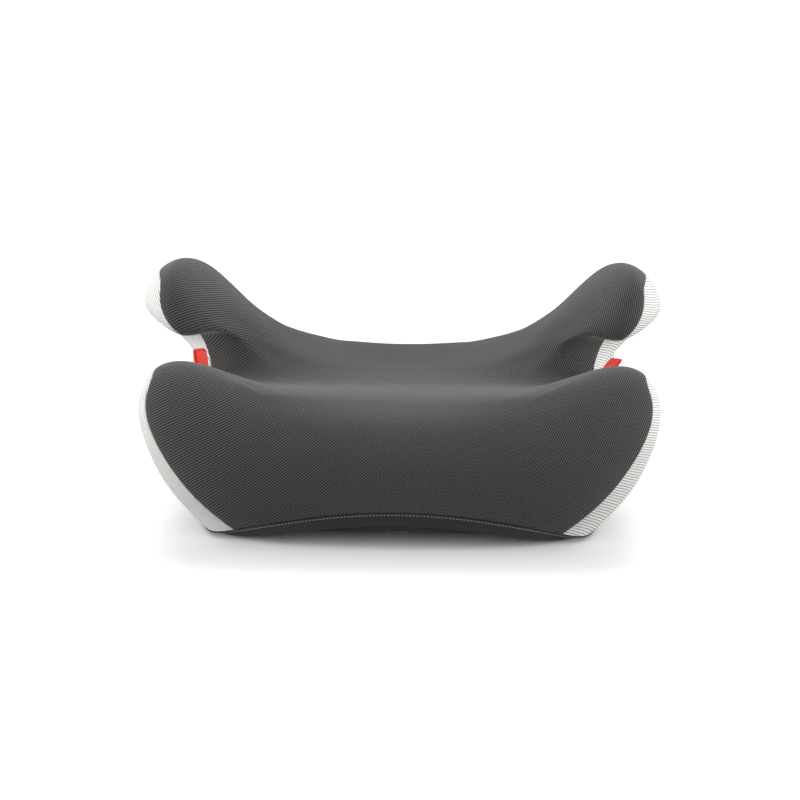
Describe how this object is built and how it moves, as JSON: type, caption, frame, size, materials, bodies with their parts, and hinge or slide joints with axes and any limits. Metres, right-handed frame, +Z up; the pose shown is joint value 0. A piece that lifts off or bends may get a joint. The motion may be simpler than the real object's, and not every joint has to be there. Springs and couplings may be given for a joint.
{
  "type": "booster seat",
  "caption": "Backless child booster seat for a car: padded fabric seat with hooked armrests, belt gaps at both sides, elastic hem and a ribbed base tray",
  "frame": {"origin": "middle of the footprint at the height of the surface that the seat stands on", "axes": "+X to the seat's own left-to-right width (the right side as seen from the front), +Y to the rear, +Z up; the child faces -Y"},
  "size_m": [0.464, 0.385, 0.2229],
  "materials": {
    "charcoal_knit": "soft ribbed charcoal knit with a slanting rib",
    "light_grey_knit": "light grey knit with fine slanting stripes",
    "black_elastic": "black woven elastic with fine cords and a tan topstitch",
    "red_ribbon": "bright red woven polyester ribbon with a slight sheen",
    "foam": "off-white open-cell polyurethane foam",
    "shell_plastic": "blue-black moulded plastic with a fine satin texture",
    "tray_plastic": "black moulded plastic with a fine satin texture",
    "screw_steel": "zinc plated steel"
  },
  "bodies": {
    "seat": {"seat_shell": "shell_plastic", "base_tray": "tray_plastic", "seat_foam": "foam", "armrest_foam_left": "foam", "armrest_side_foam_left": "foam", "wing_side_foam_left": "foam", "armrest_foam_right": "foam", "armrest_side_foam_right": "foam", "wing_side_foam_right": "foam", "cover_top_panel": "charcoal_knit", "cover_side_left": "light_grey_knit", "cover_side_right": "light_grey_knit", "cover_hem_band": "black_elastic", "tray_screw_1": "screw_steel", "tray_screw_2": "screw_steel", "tray_screw_3": "screw_steel", "tray_screw_4": "screw_steel", "tray_screw_5": "screw_steel", "tray_screw_6": "screw_steel", "tray_screw_7": "screw_steel", "tray_screw_8": "screw_steel"},
    "belt_loop_left": {"belt_loop_left": "red_ribbon"},
    "belt_loop_right": {"belt_loop_right": "red_ribbon"}
  },
  "joints": [
    {"name": "belt_loop_left_flex", "type": "hinge", "parent": "seat", "child": "belt_loop_left", "pos_m": [-0.18, -0.031, 0.121], "axis": [0.866, 0.5, 0], "range_deg": [-20, 40], "stiffness_Nm_per_rad": 0.002},
    {"name": "belt_loop_right_flex", "type": "hinge", "parent": "seat", "child": "belt_loop_right", "pos_m": [0.18, -0.031, 0.121], "axis": [0.866, -0.5, 0], "range_deg": [-20, 40], "stiffness_Nm_per_rad": 0.002}
  ]
}
